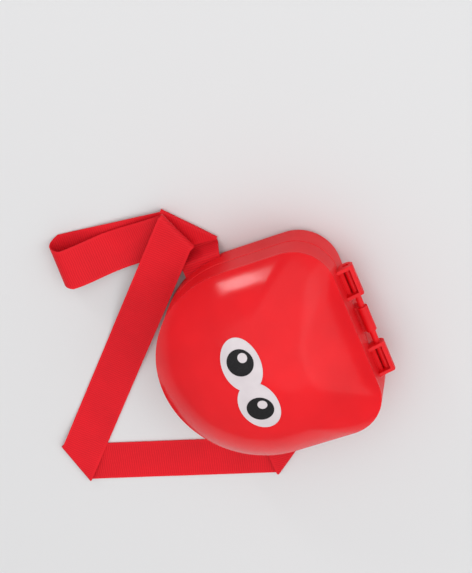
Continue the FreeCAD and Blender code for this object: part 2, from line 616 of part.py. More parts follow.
def drop_sections(ribbon, side, outward, low):
    """The S-shaped stretch between a slot and the table, beyond the case's widest place."""
    start = number(HALF) + size("drop_start")
    run, rise = size("drop_length"), size("slot_height") - low
    steps = range(DROP_STEPS + 1) if outward else range(DROP_STEPS, -1, -1)
    ahead = FreeCAD.Vector(side if outward else -side, 0, 0)
    for step in steps:
        share = step / DROP_STEPS
        x = start + run * share
        z = low + rise * (1 + math.cos(math.pi * share)) / 2
        slope = -rise / run * math.pi / 2 * math.sin(math.pi * share)
        ribbon.level(FreeCAD.Vector(side * x, -size("slot_shift"), z), ahead, slope if outward else -slope)


def make_strap():
    """Flat ribbon from slot to slot, laid on the table in five folds, with a rolled stop at each end."""
    ribbon = Ribbon(size("strap_width"), size("strap_thickness"))
    half, radius, crossing = number(HALF), size("fold_radius"), size("crossing_radius")
    bed = size("strap_lift") + size("strap_thickness") / 2
    upper = bed + 2 * radius
    crossing_level = upper + 2 * radius + size("strap_thickness")
    width, table = size("strap_width"), half + size("drop_start") + size("drop_length")
    folds = [FreeCAD.Vector(side * (table + beyond * width), -size("slot_shift") - along * width, 0)
             for side, beyond, along in FOLD_PLACE_SHARES]
    slide = FreeCAD.Vector(LOOP_SLIDE_SHARE * width, 0, 0)
    starts = [folds[0], folds[1] + slide] + folds[2:]
    runs = [(b - a).normalize() for a, b in zip(starts, folds[1:])]
    inward = FreeCAD.Vector(-1, 0, 0)
    end = half - size("slot_reach")
    ribbon.level(FreeCAD.Vector(-end, -size("slot_shift"), size("slot_height")), inward)
    drop_sections(ribbon, -1, True, bed)
    ribbon.fold(folds[0], bed, radius, inward, runs[0])
    ribbon.fold(folds[1], bed, size("loop_radius"), runs[0], runs[1], slide=slide)
    ribbon.fold(folds[2], crossing_level, crossing, runs[1], runs[2])
    ribbon.fold(folds[3], upper, radius, runs[2], runs[3], upward=False)
    ribbon.fold(folds[4], bed, radius, runs[3], inward)
    drop_sections(ribbon, 1, False, upper)
    ribbon.level(FreeCAD.Vector(end, -size("slot_shift"), size("slot_height")), inward)
    strap = ribbon.solid()
    print("strap length", round(ribbon.length(), 1), "volume share of width x thickness x length",
          round(strap.Volume / (ribbon.length() * size("strap_width") * size("strap_thickness")), 3))

    roll = size("stop_diameter") / 2
    stops = []
    for side in (-1, 1):
        edge = -size("slot_shift") - size("strap_width") / 2
        start = FreeCAD.Vector(side * (end - roll), edge, size("slot_height"))
        stops.append(Part.makeCylinder(roll, size("strap_width"), start, FreeCAD.Vector(0, 1, 0)))
    return [add_feature("shoulder_strap", strap), add_feature("strap_stops", Part.makeCompound(stops))]


def write_parts(parts):
    doc.recompute()
    for item in doc.Objects:
        if "Invalid" in item.State or "Error" in item.State:
            raise RuntimeError(f"{item.Name} failed: {item.State}")
    for part in parts:
        if part.Shape.isNull() or not part.Shape.isValid():
            raise RuntimeError(f"{part.Label} has no valid shape")
    os.makedirs("parts", exist_ok=True)
    for part in parts:
        part.Shape.exportStep(f"parts/{part.Label}.step")
        print(part.Label, "solids", len(part.Shape.Solids), "volume", round(part.Shape.Volume, 1))


base_shell = make_base_shell()
lid_shell, lid_dome = make_lid_shell()
write_parts([base_shell, lid_shell, make_hinge_pin()] + make_eyes(lid_dome) + make_strap())
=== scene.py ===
"""Toy carry case with a domed lid, an eye sticker and a folded ribbon strap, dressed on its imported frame."""
import json
import math

import bpy
from mathutils import Matrix, Vector

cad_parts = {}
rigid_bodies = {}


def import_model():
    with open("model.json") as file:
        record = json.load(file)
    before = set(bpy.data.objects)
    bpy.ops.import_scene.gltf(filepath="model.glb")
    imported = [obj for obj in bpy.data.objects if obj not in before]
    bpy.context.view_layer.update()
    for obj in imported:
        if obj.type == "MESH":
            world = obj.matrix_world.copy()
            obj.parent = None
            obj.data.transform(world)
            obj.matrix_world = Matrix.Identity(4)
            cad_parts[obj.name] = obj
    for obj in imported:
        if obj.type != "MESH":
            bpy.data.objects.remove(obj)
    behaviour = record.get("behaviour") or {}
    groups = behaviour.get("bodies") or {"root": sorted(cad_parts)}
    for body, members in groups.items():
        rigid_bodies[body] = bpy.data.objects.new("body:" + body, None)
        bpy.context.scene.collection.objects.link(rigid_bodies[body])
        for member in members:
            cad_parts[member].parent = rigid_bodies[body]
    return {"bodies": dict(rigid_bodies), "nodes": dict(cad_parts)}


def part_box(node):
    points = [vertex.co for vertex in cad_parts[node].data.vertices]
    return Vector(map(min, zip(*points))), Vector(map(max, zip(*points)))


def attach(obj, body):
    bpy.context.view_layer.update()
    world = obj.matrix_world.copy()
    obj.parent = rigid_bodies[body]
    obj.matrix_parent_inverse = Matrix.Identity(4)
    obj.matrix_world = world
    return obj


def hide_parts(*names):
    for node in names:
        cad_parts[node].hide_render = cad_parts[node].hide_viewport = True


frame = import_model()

bl_info = {
    "name": "Toy carry case",
    "version": (1, 0, 0),
    "blender": (4, 5, 0),
    "location": "View3D > Sidebar > Toy case",
    "description": "Dresses a small moulded toy case: its plastic, its eye sticker and its ribbon strap",
    "category": "Object",
}

# Where the case ends and where the ribbon's rolled ends sit, as the frame has them.
CASE_LOW, CASE_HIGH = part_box("base_shell")
STOPS_LOW, STOPS_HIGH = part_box("strap_stops")
HALF_CASE = CASE_HIGH.x
SLOT_Y = (STOPS_LOW.y + STOPS_HIGH.y) / 2
SLOT_Z = (STOPS_LOW.z + STOPS_HIGH.z) / 2

# Heights above the table: where the shells meet, below the base's lip, and the dome's edge on the lid's wall.
LIP_HEIGHT = 0.0023
SEAM_HEIGHT = CASE_HIGH.z - LIP_HEIGHT
DOME_EDGE = 0.030
# Ejector pin marks on the inside floor of the base: the floor's height, their places and their radius.
INNER_FLOOR = 0.002
PIN_MARK_PLACE = (0.026, 0.022, 0.0)
PIN_MARK_RADIUS = 0.003

# The ribbon's folds in order: each one's side of the case, then, as shares of the ribbon's width, how far it
# lies beyond where the ribbon reaches the table, and how far from the slot towards the round end.
FOLD_PLACE_SHARES = (
    (-1, 0.58415, 0),
    (-1, 0.8855, 3.13525),
    (-1, 0.58415, 0.3006),
    (1, -1.0696, 5.2006),
    (1, 0.42, 0),
)

# How far the ribbon moves sideways, towards the case, inside the open loop: a share of the ribbon's width.
LOOP_SLIDE_SHARE = 0.28175

# Shares of a ribbon run: its way down from the open loop, and its rise to the crossing at the end.
LOOP_END, CROSSING_RISE = 0.5, 0.4
# The same for the run after the crossing: level start, way down to the table, rise onto the last layer.
LEVEL_START, TABLE_FALL, LAST_RISE = 0.16, 0.42, 0.2
# Room between the middles of two ribbon layers that lie on each other.
LAYER_ROOM = 0.0012

# A rolled end's turns, the straight stretch from it to the slot, and the steps each is drawn in.
ROLL_TURNS, ROLL_STEPS = 1.75, 56
ROLL_RUN, ROLL_RUN_STEPS = 0.0032, 10
DROP_STEPS = 14
# Cells across the ribbon.
RIBBON_CELLS = 14

# Waves in the ribbon, each by its length for one radian and its start: along the edges, finer along them, and
# the cupping of the whole width.
RIBBON_WAVES = ((0.0085, 1.9), (0.0037, 0.4), (0.021, 0.7))

# One stitch, out of the cloth, along it and back in: each step's share of the length, its lift in thread
# radii and how much the thread swells.
STITCH_STEPS = (
    (0.12, 1.2, 1.35),
    (0.2, 0.35, 1.05),
    (0.36, 0.1, 1.0),
    (0.2, -0.35, 0.95),
    (0.12, -1.3, 0.74),
)

# The photograph's view: its right and down directions in the case's frame, and its shift off the origin.
VIEW_RIGHT = Vector((0.3787, 0.9164, -0.1294))
VIEW_DOWN = Vector((0.8623, -0.2986, 0.4090))
VIEW_SHIFT_RIGHT, VIEW_SHIFT_DOWN = -0.01478, -0.02403

# The lights' sizes, places and what each is turned to. The key light is mirrored by the dome's edge.
KEY_LIGHT = ((0.04, 0.14), (-0.725, -0.195, 0.30), (-0.044, 0.004, 0.036))
WIDE_LIGHT = ((2.4, 2.0), (-0.25, 0.35, 1.45), (0, 0, 0.02))
SIDE_LIGHT = ((1.6, 1.0), (0.25, 1.1, 0.85), (0, 0, 0.02))
SIDE_SHARE = 0.5
# The surround's share at the level of the floor, and the sine of the elevation where it is full.
HORIZON_SHARE, FULL_GLOW = 0.35, 0.7


def linear(hex_colour):
    """Linear red, green and blue of an sRGB hex colour."""
    channels = [int(hex_colour[i:i + 2], 16) / 255 for i in (0, 2, 4)]
    return tuple(c / 12.92 if c <= 0.04045 else ((c + 0.055) / 1.055) ** 2.4 for c in channels)


def colour_property(name, description, hex_colour):
    return bpy.props.FloatVectorProperty(
        name=name, description=description, subtype="COLOR", size=3, min=0, max=1, default=linear(hex_colour))


def length_property(name, description, default):
    return bpy.props.FloatProperty(
        name=name, description=description, subtype="DISTANCE", unit="LENGTH", min=0, default=default,
        precision=5)


class CaseColours(bpy.types.PropertyGroup):
    """Colours of the case's materials."""
    plastic: colour_property("Plastic", "Red of the moulded shells", "E5141E")
    plastic_deep: colour_property("Plastic, deep", "Red where the melt ran thicker", "D20E18")
    # Pale red for the line along the seam: partly rubbing, partly a painted highlight on the lip's edge.
    plastic_rubbed_and_highlight: colour_property("Plastic, rubbed", "Red along edges that are rubbed pale", "F0484C")
    film: colour_property("Film", "White of the eye sticker", "D6CDD0")
    film_grey: colour_property("Film, grey", "Greyer cast in the film", "CBC1C5")
    ink: colour_property("Ink", "Black of the pupils", "151416")
    ink_thin: colour_property("Ink, thin", "Black where the ink is thin", "262427")
    # The ribbon's deep red stands both for uneven dye and for painted shade between the ribs and in the
    # thread's twist; the plain red is the lit crests.
    ribbon: colour_property("Ribbon", "Red on the crests of the ribs", "DF0F20")
    ribbon_deep_and_groove_shade: colour_property("Ribbon, deep", "Red between the ribs", "B40917")
    thread: colour_property("Thread", "Red of the hem's thread", "B80F1C")
    floor: colour_property("Floor", "Pale floor of the stage", "D3D3D4")


class RibbonSizes(bpy.types.PropertyGroup):
    """Sizes of the ribbon and of the way it lies."""
    width: length_property("Width", "Width of the ribbon", STOPS_HIGH.y - STOPS_LOW.y)
    thickness: length_property("Thickness", "Thickness of the ribbon", 0.0005)
    bed: length_property("Bed height", "Height of the lowest layer's middle above the table", 0.0005)
    fold_radius: length_property("Fold radius", "Radius of a pressed fold", 0.001)
    loop_radius: length_property("Loop radius", "Radius of the open loop", 0.0045)
    crossing_radius: length_property("Crossing radius", "Radius of the fold over other layers", 0.002)
    crossing_height: length_property("Crossing height", "Height at which the crossing fold starts", 0.0051)
    drop_start: length_property("Drop start", "How far outside the case the ribbon starts to fall", 0.0008)
    drop_length: length_property("Drop length", "Length in which it falls to the table", 0.0055)
    roll_radius: length_property("Roll radius", "Radius of a rolled end", (STOPS_HIGH.z - STOPS_LOW.z) / 2)
    roll_place: length_property("Roll place", "Middle of a rolled end, from the case's middle",
                                STOPS_HIGH.x - (STOPS_HIGH.z - STOPS_LOW.z) / 2)
    step: length_property("Step", "Spacing of the cross lines along the ribbon", 0.0015)
    ripple: length_property("Ripple", "How far the ribbon waves off its flat line", 0.0004)
    rib_spacing: length_property("Rib spacing", "Spacing of the woven ribs", 0.0011)
    thread_diameter: length_property("Thread", "Diameter of the hem's thread", 0.0004)
    stitch_length: length_property("Stitch", "Length of one stitch", 0.0017)
    stitch_pitch: length_property("Stitch pitch", "Spacing of the stitches", 0.0026)


class StageSizes(bpy.types.PropertyGroup):
    """Sizes of the floor, the lights and the view."""
    floor_size: length_property("Floor", "Side of the floor", 6.0)
    view_distance: length_property("View distance", "From the case to the camera", 1.0)
    lens: bpy.props.FloatProperty(
        name="Lens", description="Focal length of the camera, in millimetres", unit="CAMERA", default=129.67)
    key_power: bpy.props.FloatProperty(
        name="Key light", description="Power of the small soft light", unit="POWER", default=0.5)
    fill_power: bpy.props.FloatProperty(
        name="Fill light", description="Power of the wide soft light", unit="POWER", default=9.2)
    sky_strength: bpy.props.FloatProperty(
        name="Surround", description="Strength of the pale surround", default=0.9)


def add_node(tree, kind, inputs=None, **options):
    """Adds a node, sets its options, and sets each named input to a value or joins it to an output."""
    node = tree.nodes.new(kind)
    for name, value in options.items():
        setattr(node, name, value)
    for name, value in (inputs or {}).items():
        if isinstance(value, bpy.types.NodeSocket):
            tree.links.new(value, node.inputs[name])
        else:
            node.inputs[name].default_value = value
    return node


def new_material(name):
    """An empty node material and its tree."""
    material = bpy.data.materials.new(name)
    material.use_nodes = True
    material.node_tree.nodes.clear()
    return material, material.node_tree


def opaque(colour):
    return (*colour, 1.0)


def red_polypropylene(colours):
    """Injection-moulded polypropylene: even glossy red, soft flow clouds, slight ripple, fine scuffs."""
    material, tree = new_material("red_moulded_polypropylene")
    place = add_node(tree, "ShaderNodeTexCoord").outputs["Object"]
    height = add_node(tree, "ShaderNodeSeparateXYZ", {"Vector": place}).outputs

    # Clouds of thicker and thinner melt, about 30 mm across.
    cloud = add_node(tree, "ShaderNodeTexNoise", {"Vector": place, "Scale": 1 / 0.030, "Detail": 2.0})
    cloud_share = add_node(tree, "ShaderNodeMapRange", {
        "Value": cloud.outputs["Fac"], "From Min": 0.35, "From Max": 0.7, "To Min": 0.0, "To Max": 0.7})
    body = add_node(tree, "ShaderNodeMix", {
        "Factor": cloud_share.outputs["Result"], 6: opaque(colours.plastic), 7: opaque(colours.plastic_deep)},
        data_type="RGBA")

    # Paler line, 0.5 mm to either side of where the two shells meet, broken up every 4 mm or so: partly rubbed
    # plastic, partly a painted highlight on the lip's edge.
    seam = add_node(tree, "ShaderNodeMath", {0: height["Z"], 1: SEAM_HEIGHT}, operation="SUBTRACT")
    seam_distance = add_node(tree, "ShaderNodeMath", {0: seam.outputs[0]}, operation="ABSOLUTE")
    seam_share = add_node(tree, "ShaderNodeMapRange", {
        "Value": seam_distance.outputs[0], "From Min": 0.0001, "From Max": 0.0007,
        "To Min": 0.45, "To Max": 0.0})
    broken = add_node(tree, "ShaderNodeTexNoise", {"Vector": place, "Scale": 1 / 0.004, "Detail": 3.0})
    rub_and_highlight_share = add_node(tree, "ShaderNodeMath", {
        0: seam_share.outputs["Result"], 1: broken.outputs["Fac"]}, operation="MULTIPLY")
    rubbed_and_highlit = add_node(tree, "ShaderNodeMix", {
        "Factor": rub_and_highlight_share.outputs[0], 6: body.outputs[2], 7: opaque(colours.plastic_rubbed_and_highlight)},
        data_type="RGBA")

    # Scuffs from handling: hair-thin streaks 12 mm long, drawn 0.5 mm wide so that they show.
    streak_place = add_node(tree, "ShaderNodeMapping", {
        "Vector": place, "Rotation": (0.3, 0.2, 0.9), "Scale": (1 / 0.012, 1 / 0.0005, 1 / 0.0005)})
    streak = add_node(tree, "ShaderNodeTexNoise", {
        "Vector": streak_place.outputs[0], "Scale": 1.0, "Detail": 2.0})
    scuffed = add_node(tree, "ShaderNodeMapRange", {
        "Value": streak.outputs["Fac"], "From Min": 0.58, "From Max": 0.75, "To Min": 0.0, "To Max": 0.07})
    gloss = add_node(tree, "ShaderNodeMapRange", {
        "Value": cloud.outputs["Fac"], "From Min": 0.3, "From Max": 0.7, "To Min": 0.13, "To Max": 0.18})
    marred = add_node(tree, "ShaderNodeMath", {0: gloss.outputs["Result"], 1: scuffed.outputs["Result"]})
    # Only the dome's part of the mould is polished: below it, walls dragged along the mould come out satin.
    drag = add_node(tree, "ShaderNodeMapRange", {
        "Value": height["Z"], "From Min": DOME_EDGE - 0.0012, "From Max": DOME_EDGE,
        "To Min": 0.3, "To Max": 0.0})
    roughness = add_node(tree, "ShaderNodeMath", {0: marred.outputs[0], 1: drag.outputs["Result"]})

    # Ejector pin marks, one in each corner of the inside floor.
    across = add_node(tree, "ShaderNodeMath", {0: height["X"]}, operation="ABSOLUTE")
    along = add_node(tree, "ShaderNodeMath", {0: height["Y"]}, operation="ABSOLUTE")
    corner = add_node(tree, "ShaderNodeCombineXYZ", {"X": across.outputs[0], "Y": along.outputs[0]})
    pin = add_node(tree, "ShaderNodeVectorMath", {
        0: corner.outputs[0], 1: PIN_MARK_PLACE}, operation="DISTANCE")
    pin_edge = add_node(tree, "ShaderNodeMapRange", {
        "Value": pin.outputs["Value"], "From Min": PIN_MARK_RADIUS - 0.0001,
        "From Max": PIN_MARK_RADIUS + 0.0001})
    on_floor = add_node(tree, "ShaderNodeMath", {
        0: height["Z"], 1: INNER_FLOOR, 2: 0.0006}, operation="COMPARE")
    pin_height = add_node(tree, "ShaderNodeMath", {
        0: pin_edge.outputs["Result"], 1: on_floor.outputs[0]}, operation="MULTIPLY")

    # Sink ripple about 14 mm across and the fine skin of the mould, 1 mm across so that it shows.
    ripple = add_node(tree, "ShaderNodeTexNoise", {"Vector": place, "Scale": 1 / 0.014, "Detail": 1.0})
    skin = add_node(tree, "ShaderNodeTexNoise", {"Vector": place, "Scale": 1 / 0.001, "Detail": 2.0})
    marked = add_node(tree, "ShaderNodeBump", {
        "Strength": 0.5, "Distance": 0.0001, "Height": pin_height.outputs[0]})
    rippled = add_node(tree, "ShaderNodeBump", {
        "Strength": 0.25, "Distance": 0.0004, "Height": ripple.outputs["Fac"], "Normal": marked.outputs[0]})
    skinned = add_node(tree, "ShaderNodeBump", {
        "Strength": 0.02, "Distance": 0.0001, "Height": skin.outputs["Fac"], "Normal": rippled.outputs[0]})
    shader = add_node(tree, "ShaderNodeBsdfPrincipled", {
        "Base Color": rubbed_and_highlit.outputs[2], "Roughness": roughness.outputs[0], "IOR": 1.49,
        "Specular IOR Level": 0.22, "Subsurface Weight": 0.3, "Subsurface Radius": (1.0, 0.12, 0.1),
        "Subsurface Scale": 0.0025, "Normal": skinned.outputs[0]})
    add_node(tree, "ShaderNodeOutputMaterial", {"Surface": shader.outputs[0]})
    return material


def white_vinyl_film(colours):
    """Printed self-adhesive vinyl: clean white with a satin face and a faint grain from the liner."""
    material, tree = new_material("white_vinyl_film")
    place = add_node(tree, "ShaderNodeTexCoord").outputs["Object"]
    cast = add_node(tree, "ShaderNodeTexNoise", {"Vector": place, "Scale": 1 / 0.009, "Detail": 3.0})
    cast_share = add_node(tree, "ShaderNodeMapRange", {
        "Value": cast.outputs["Fac"], "From Min": 0.3, "From Max": 0.75})
    colour = add_node(tree, "ShaderNodeMix", {
        "Factor": cast_share.outputs["Result"], 6: opaque(colours.film), 7: opaque(colours.film_grey)},
        data_type="RGBA")
    # Liner grain, really about 0.1 mm, drawn at 0.6 mm so that it shows.
    grain = add_node(tree, "ShaderNodeTexNoise", {"Vector": place, "Scale": 1 / 0.0006, "Detail": 2.0})
    roughness = add_node(tree, "ShaderNodeMapRange", {
        "Value": grain.outputs["Fac"], "To Min": 0.28, "To Max": 0.42})
    bump = add_node(tree, "ShaderNodeBump", {
        "Strength": 0.05, "Distance": 0.0001, "Height": grain.outputs["Fac"]})
    shader = add_node(tree, "ShaderNodeBsdfPrincipled", {
        "Base Color": colour.outputs[2], "Roughness": roughness.outputs["Result"], "IOR": 1.53,
        "Specular IOR Level": 0.35, "Normal": bump.outputs[0]})
    add_node(tree, "ShaderNodeOutputMaterial", {"Surface": shader.outputs[0]})
    return material


def black_screen_ink(colours):
    """Screen-printed ink: near black, satin, a little thinner in tiny pinholes."""
    material, tree = new_material("black_screen_ink")
    place = add_node(tree, "ShaderNodeTexCoord").outputs["Object"]
    # Pinholes of the printing screen, really about 0.1 mm, drawn at 0.5 mm so that they show.
    pinhole = add_node(tree, "ShaderNodeTexNoise", {"Vector": place, "Scale": 1 / 0.0005, "Detail": 2.0})
    thin = add_node(tree, "ShaderNodeMapRange", {
        "Value": pinhole.outputs["Fac"], "From Min": 0.5, "From Max": 0.75})
    colour = add_node(tree, "ShaderNodeMix", {
        "Factor": thin.outputs["Result"], 6: opaque(colours.ink), 7: opaque(colours.ink_thin)},
        data_type="RGBA")
    roughness = add_node(tree, "ShaderNodeMapRange", {
        "Value": pinhole.outputs["Fac"], "To Min": 0.3, "To Max": 0.46})
    bump = add_node(tree, "ShaderNodeBump", {
        "Strength": 0.06, "Distance": 0.0001, "Height": pinhole.outputs["Fac"]})
    shader = add_node(tree, "ShaderNodeBsdfPrincipled", {
        "Base Color": colour.outputs[2], "Roughness": roughness.outputs["Result"], "IOR": 1.5,
        "Specular IOR Level": 0.18, "Normal": bump.outputs[0]})
    add_node(tree, "ShaderNodeOutputMaterial", {"Surface": shader.outputs[0]})
    return material


def ribbed_polyester_ribbon(colours, sizes):
    """Woven polyester ribbon: fine ribs across it, a flat selvedge along each edge, a soft sheen."""
    material, tree = new_material("ribbed_polyester_ribbon")
    weave = add_node(tree, "ShaderNodeUVMap", uv_map="weave").outputs[0]
    axes = add_node(tree, "ShaderNodeSeparateXYZ", {"Vector": weave}).outputs

    # Ribs wander by a fifth of a millimetre, as the weft does in a cheap ribbon.
    wander = add_node(tree, "ShaderNodeTexNoise", {"Vector": weave, "Scale": 1 / 0.006, "Detail": 2.0})
    shift = add_node(tree, "ShaderNodeMath", {
        0: wander.outputs["Fac"], 1: 0.0011, 2: axes["X"]}, operation="MULTIPLY_ADD")
    # Ribs are really about 0.5 mm apart and are drawn wider, at the rib spacing, so that they show.
    phase = add_node(tree, "ShaderNodeMath", {
        0: shift.outputs[0], 1: 2 * math.pi / sizes.rib_spacing}, operation="MULTIPLY")
    wave = add_node(tree, "ShaderNodeMath", {0: phase.outputs[0]}, operation="SINE")
    rib = add_node(tree, "ShaderNodeMapRange", {"Value": wave.outputs[0], "From Min": -1.0, "From Max": 1.0})
    # Warp threads, really 0.25 mm apart, drawn at 0.8 mm.
    warp_phase = add_node(tree, "ShaderNodeMath", {
        0: axes["Y"], 1: 2 * math.pi / 0.0008}, operation="MULTIPLY")
    warp = add_node(tree, "ShaderNodeMath", {0: warp_phase.outputs[0]}, operation="SINE")
    woven = add_node(tree, "ShaderNodeMath", {
        0: warp.outputs[0], 1: 0.16, 2: rib.outputs["Result"]}, operation="MULTIPLY_ADD")

    # Selvedge: the outer 1.1 mm is woven flat.
    edge_distance = add_node(tree, "ShaderNodeMath", {0: axes["Y"]}, operation="ABSOLUTE")
    selvedge = add_node(tree, "ShaderNodeMapRange", {
        "Value": edge_distance.outputs[0], "From Min": sizes.width / 2 - 0.0014,
        "From Max": sizes.width / 2 - 0.0009})
    cloth = add_node(tree, "ShaderNodeMix", {
        0: selvedge.outputs["Result"], 2: woven.outputs[0], 3: 0.75})

    # Dye takes unevenly over some 18 mm.
    dye = add_node(tree, "ShaderNodeTexNoise", {"Vector": weave, "Scale": 1 / 0.018, "Detail": 3.0})
    # Darker between the ribs and lighter on their crests: painted shade of the woven relief, added to the
    # uneven dye.
    rib_shade = add_node(tree, "ShaderNodeMath", {0: cloth.outputs[0], 1: 0.42, 2: 0.2}, operation="MULTIPLY_ADD")
    dye_and_rib_shade = add_node(tree, "ShaderNodeMath", {
        0: dye.outputs["Fac"], 1: 0.6, 2: rib_shade.outputs[0]}, operation="MULTIPLY_ADD", use_clamp=True)
    colour = add_node(tree, "ShaderNodeMix", {
        "Factor": dye_and_rib_shade.outputs[0], 6: opaque(colours.ribbon_deep_and_groove_shade), 7: opaque(colours.ribbon)},
        data_type="RGBA")
    roughness = add_node(tree, "ShaderNodeMapRange", {
        "Value": cloth.outputs[0], "To Min": 0.72, "To Max": 0.55})
    bump = add_node(tree, "ShaderNodeBump", {
        "Strength": 0.4, "Distance": 0.00015, "Height": cloth.outputs[0]})
    shader = add_node(tree, "ShaderNodeBsdfPrincipled", {
        "Base Color": colour.outputs[2], "Roughness": roughness.outputs["Result"], "IOR": 1.5,
        "Specular IOR Level": 0.22, "Sheen Weight": 0.03, "Sheen Roughness": 0.4, "Normal": bump.outputs[0]})
    add_node(tree, "ShaderNodeOutputMaterial", {"Surface": shader.outputs[0]})
    return material


def twisted_polyester_thread(colours):
    """Sewing thread: the ribbon's red, with its twist as slanting ridges."""
    material, tree = new_material("twisted_polyester_thread")
    place = add_node(tree, "ShaderNodeTexCoord").outputs["Object"]
    # Twist of one turn in 0.5 mm.
    twist = add_node(tree, "ShaderNodeTexWave", {
        "Vector": place, "Scale": 2 * math.pi / (20 * 0.0005), "Distortion": 0.6}, bands_direction="DIAGONAL")
    # Darker between the twist's ridges and lighter on them: painted shade of the twist.
    colour = add_node(tree, "ShaderNodeMix", {
        "Factor": twist.outputs["Fac"], 6: opaque(colours.ribbon_deep_and_groove_shade), 7: opaque(colours.thread)},
        data_type="RGBA")
    bump = add_node(tree, "ShaderNodeBump", {
        "Strength": 0.4, "Distance": 0.00005, "Height": twist.outputs["Fac"]})
    shader = add_node(tree, "ShaderNodeBsdfPrincipled", {
        "Base Color": colour.outputs[2], "Roughness": 0.55, "IOR": 1.5, "Sheen Weight": 0.2,
        "Normal": bump.outputs[0]})
    add_node(tree, "ShaderNodeOutputMaterial", {"Surface": shader.outputs[0]})
    return material


def pale_studio_board(colours):
    """Matt painted board under the case: pale, almost even."""
    material, tree = new_material("pale_studio_board")
    place = add_node(tree, "ShaderNodeTexCoord").outputs["Object"]
    tooth = add_node(tree, "ShaderNodeTexNoise", {"Vector": place, "Scale": 1 / 0.002, "Detail": 2.0})
    roughness = add_node(tree, "ShaderNodeMapRange", {
        "Value": tooth.outputs["Fac"], "To Min": 0.6, "To Max": 0.75})
    shader = add_node(tree, "ShaderNodeBsdfPrincipled", {
        "Base Color": opaque(colours.floor), "Roughness": roughness.outputs["Result"]})
    add_node(tree, "ShaderNodeOutputMaterial", {"Surface": shader.outputs[0]})
    return material


def give_material(piece, material):
    piece.data.materials.clear()
    piece.data.materials.append(material)


def only_active(piece):
    """Selects this piece alone."""
    bpy.ops.object.select_all(action="DESELECT")
    piece.select_set(True)
    bpy.context.view_layer.objects.active = piece


class RibbonRoute:
    """Follows the ribbon between its rolled ends as cross lines: a middle and a vector to the first edge."""

    def __init__(self, width):
        self.half_width = width / 2
        self.lines = []
        self.settled_runs = {}
        self.first_edge_left = True

    def cross(self, middle, ahead):
        """A cross line square to the run."""
        side = self.half_width if self.first_edge_left else -self.half_width
        self.lines.append((Vector(middle), Vector((-ahead.y, ahead.x, 0)) * side))

    def settle(self, height_at):
        """Gives the run that starts at the last cross line its heights, by the share of the run."""
        self.settled_runs[len(self.lines) - 1] = height_at

    def fold(self, place, height, radius, before, after, upward=True, steps=12, slide=Vector()):
        """Turns the ribbon over on itself, along the line that sends one run's direction to the next."""
        out = (before - after).normalized()
        line = Vector((-out.y, out.x, 0))
        turn = before.x * line.y - before.y * line.x
        if (turn > 0) != self.first_edge_left:
            line = -line
        way = 1 if upward else -1
        for step in range(steps + 1):
            angle = math.pi * step / steps
            radial = out * math.sin(angle) + Vector((0, 0, -way * math.cos(angle)))
            middle = Vector((place.x, place.y, height + way * radius)) + radial * radius
            self.lines.append((middle + slide * (step / steps), line * (self.half_width / abs(turn))))
        self.first_edge_left = not self.first_edge_left

    def fine_lines(self, step):
        """All the cross lines, with more of them put into the long runs."""
        fine = [self.lines[0]]
        for k, ((one, one_edge), (two, two_edge)) in enumerate(zip(self.lines, self.lines[1:])):
            count = max(1, math.ceil((two - one).length / step))
            for i in range(1, count + 1):
                middle = one.lerp(two, i / count)
                if k in self.settled_runs:
                    middle.z = self.settled_runs[k](i / count)
                fine.append((middle, one_edge.lerp(two_edge, i / count)))
        return fine


def ease(share):
    """Falls smoothly from one to nothing as a share goes from nothing to one."""
    return (1 + math.cos(math.pi * min(1.0, max(0.0, share)))) / 2


def rolled_end(sizes, side):
    """Middle points of a rolled end, from its core out to the straight run that leads to the slot."""
    middle = Vector((side * sizes.roll_place, SLOT_Y, SLOT_Z))
    outer = sizes.roll_radius - sizes.thickness / 2
    core = sizes.thickness
    points = []
    for step in range(ROLL_STEPS + 1):
        share = step / ROLL_STEPS
        angle = (ROLL_TURNS * (1 - share) - 0.25) * 2 * math.pi
        reach = core + (outer - core) * share
        points.append(middle + Vector((-side * reach * math.cos(angle), 0, reach * math.sin(angle))))
    # From the roll's underside the ribbon rises to the height of the slot.
    for step in range(1, ROLL_RUN_STEPS + 1):
        share = step / ROLL_RUN_STEPS
        lift = outer * (1 - math.cos(math.pi * share)) / 2
        points.append(middle + Vector((side * ROLL_RUN * share, 0, lift - outer)))
    return points


def slot_drop(sizes, side, low):
    """Middle points of the S-shaped stretch from a slot down to the table."""
    points = []
    for step in range(DROP_STEPS + 1):
        share = step / DROP_STEPS
        x = HALF_CASE + sizes.drop_start + sizes.drop_length * share
        points.append(Vector((side * x, SLOT_Y, low + (SLOT_Z - low) * (1 + math.cos(math.pi * share)) / 2)))
    return points


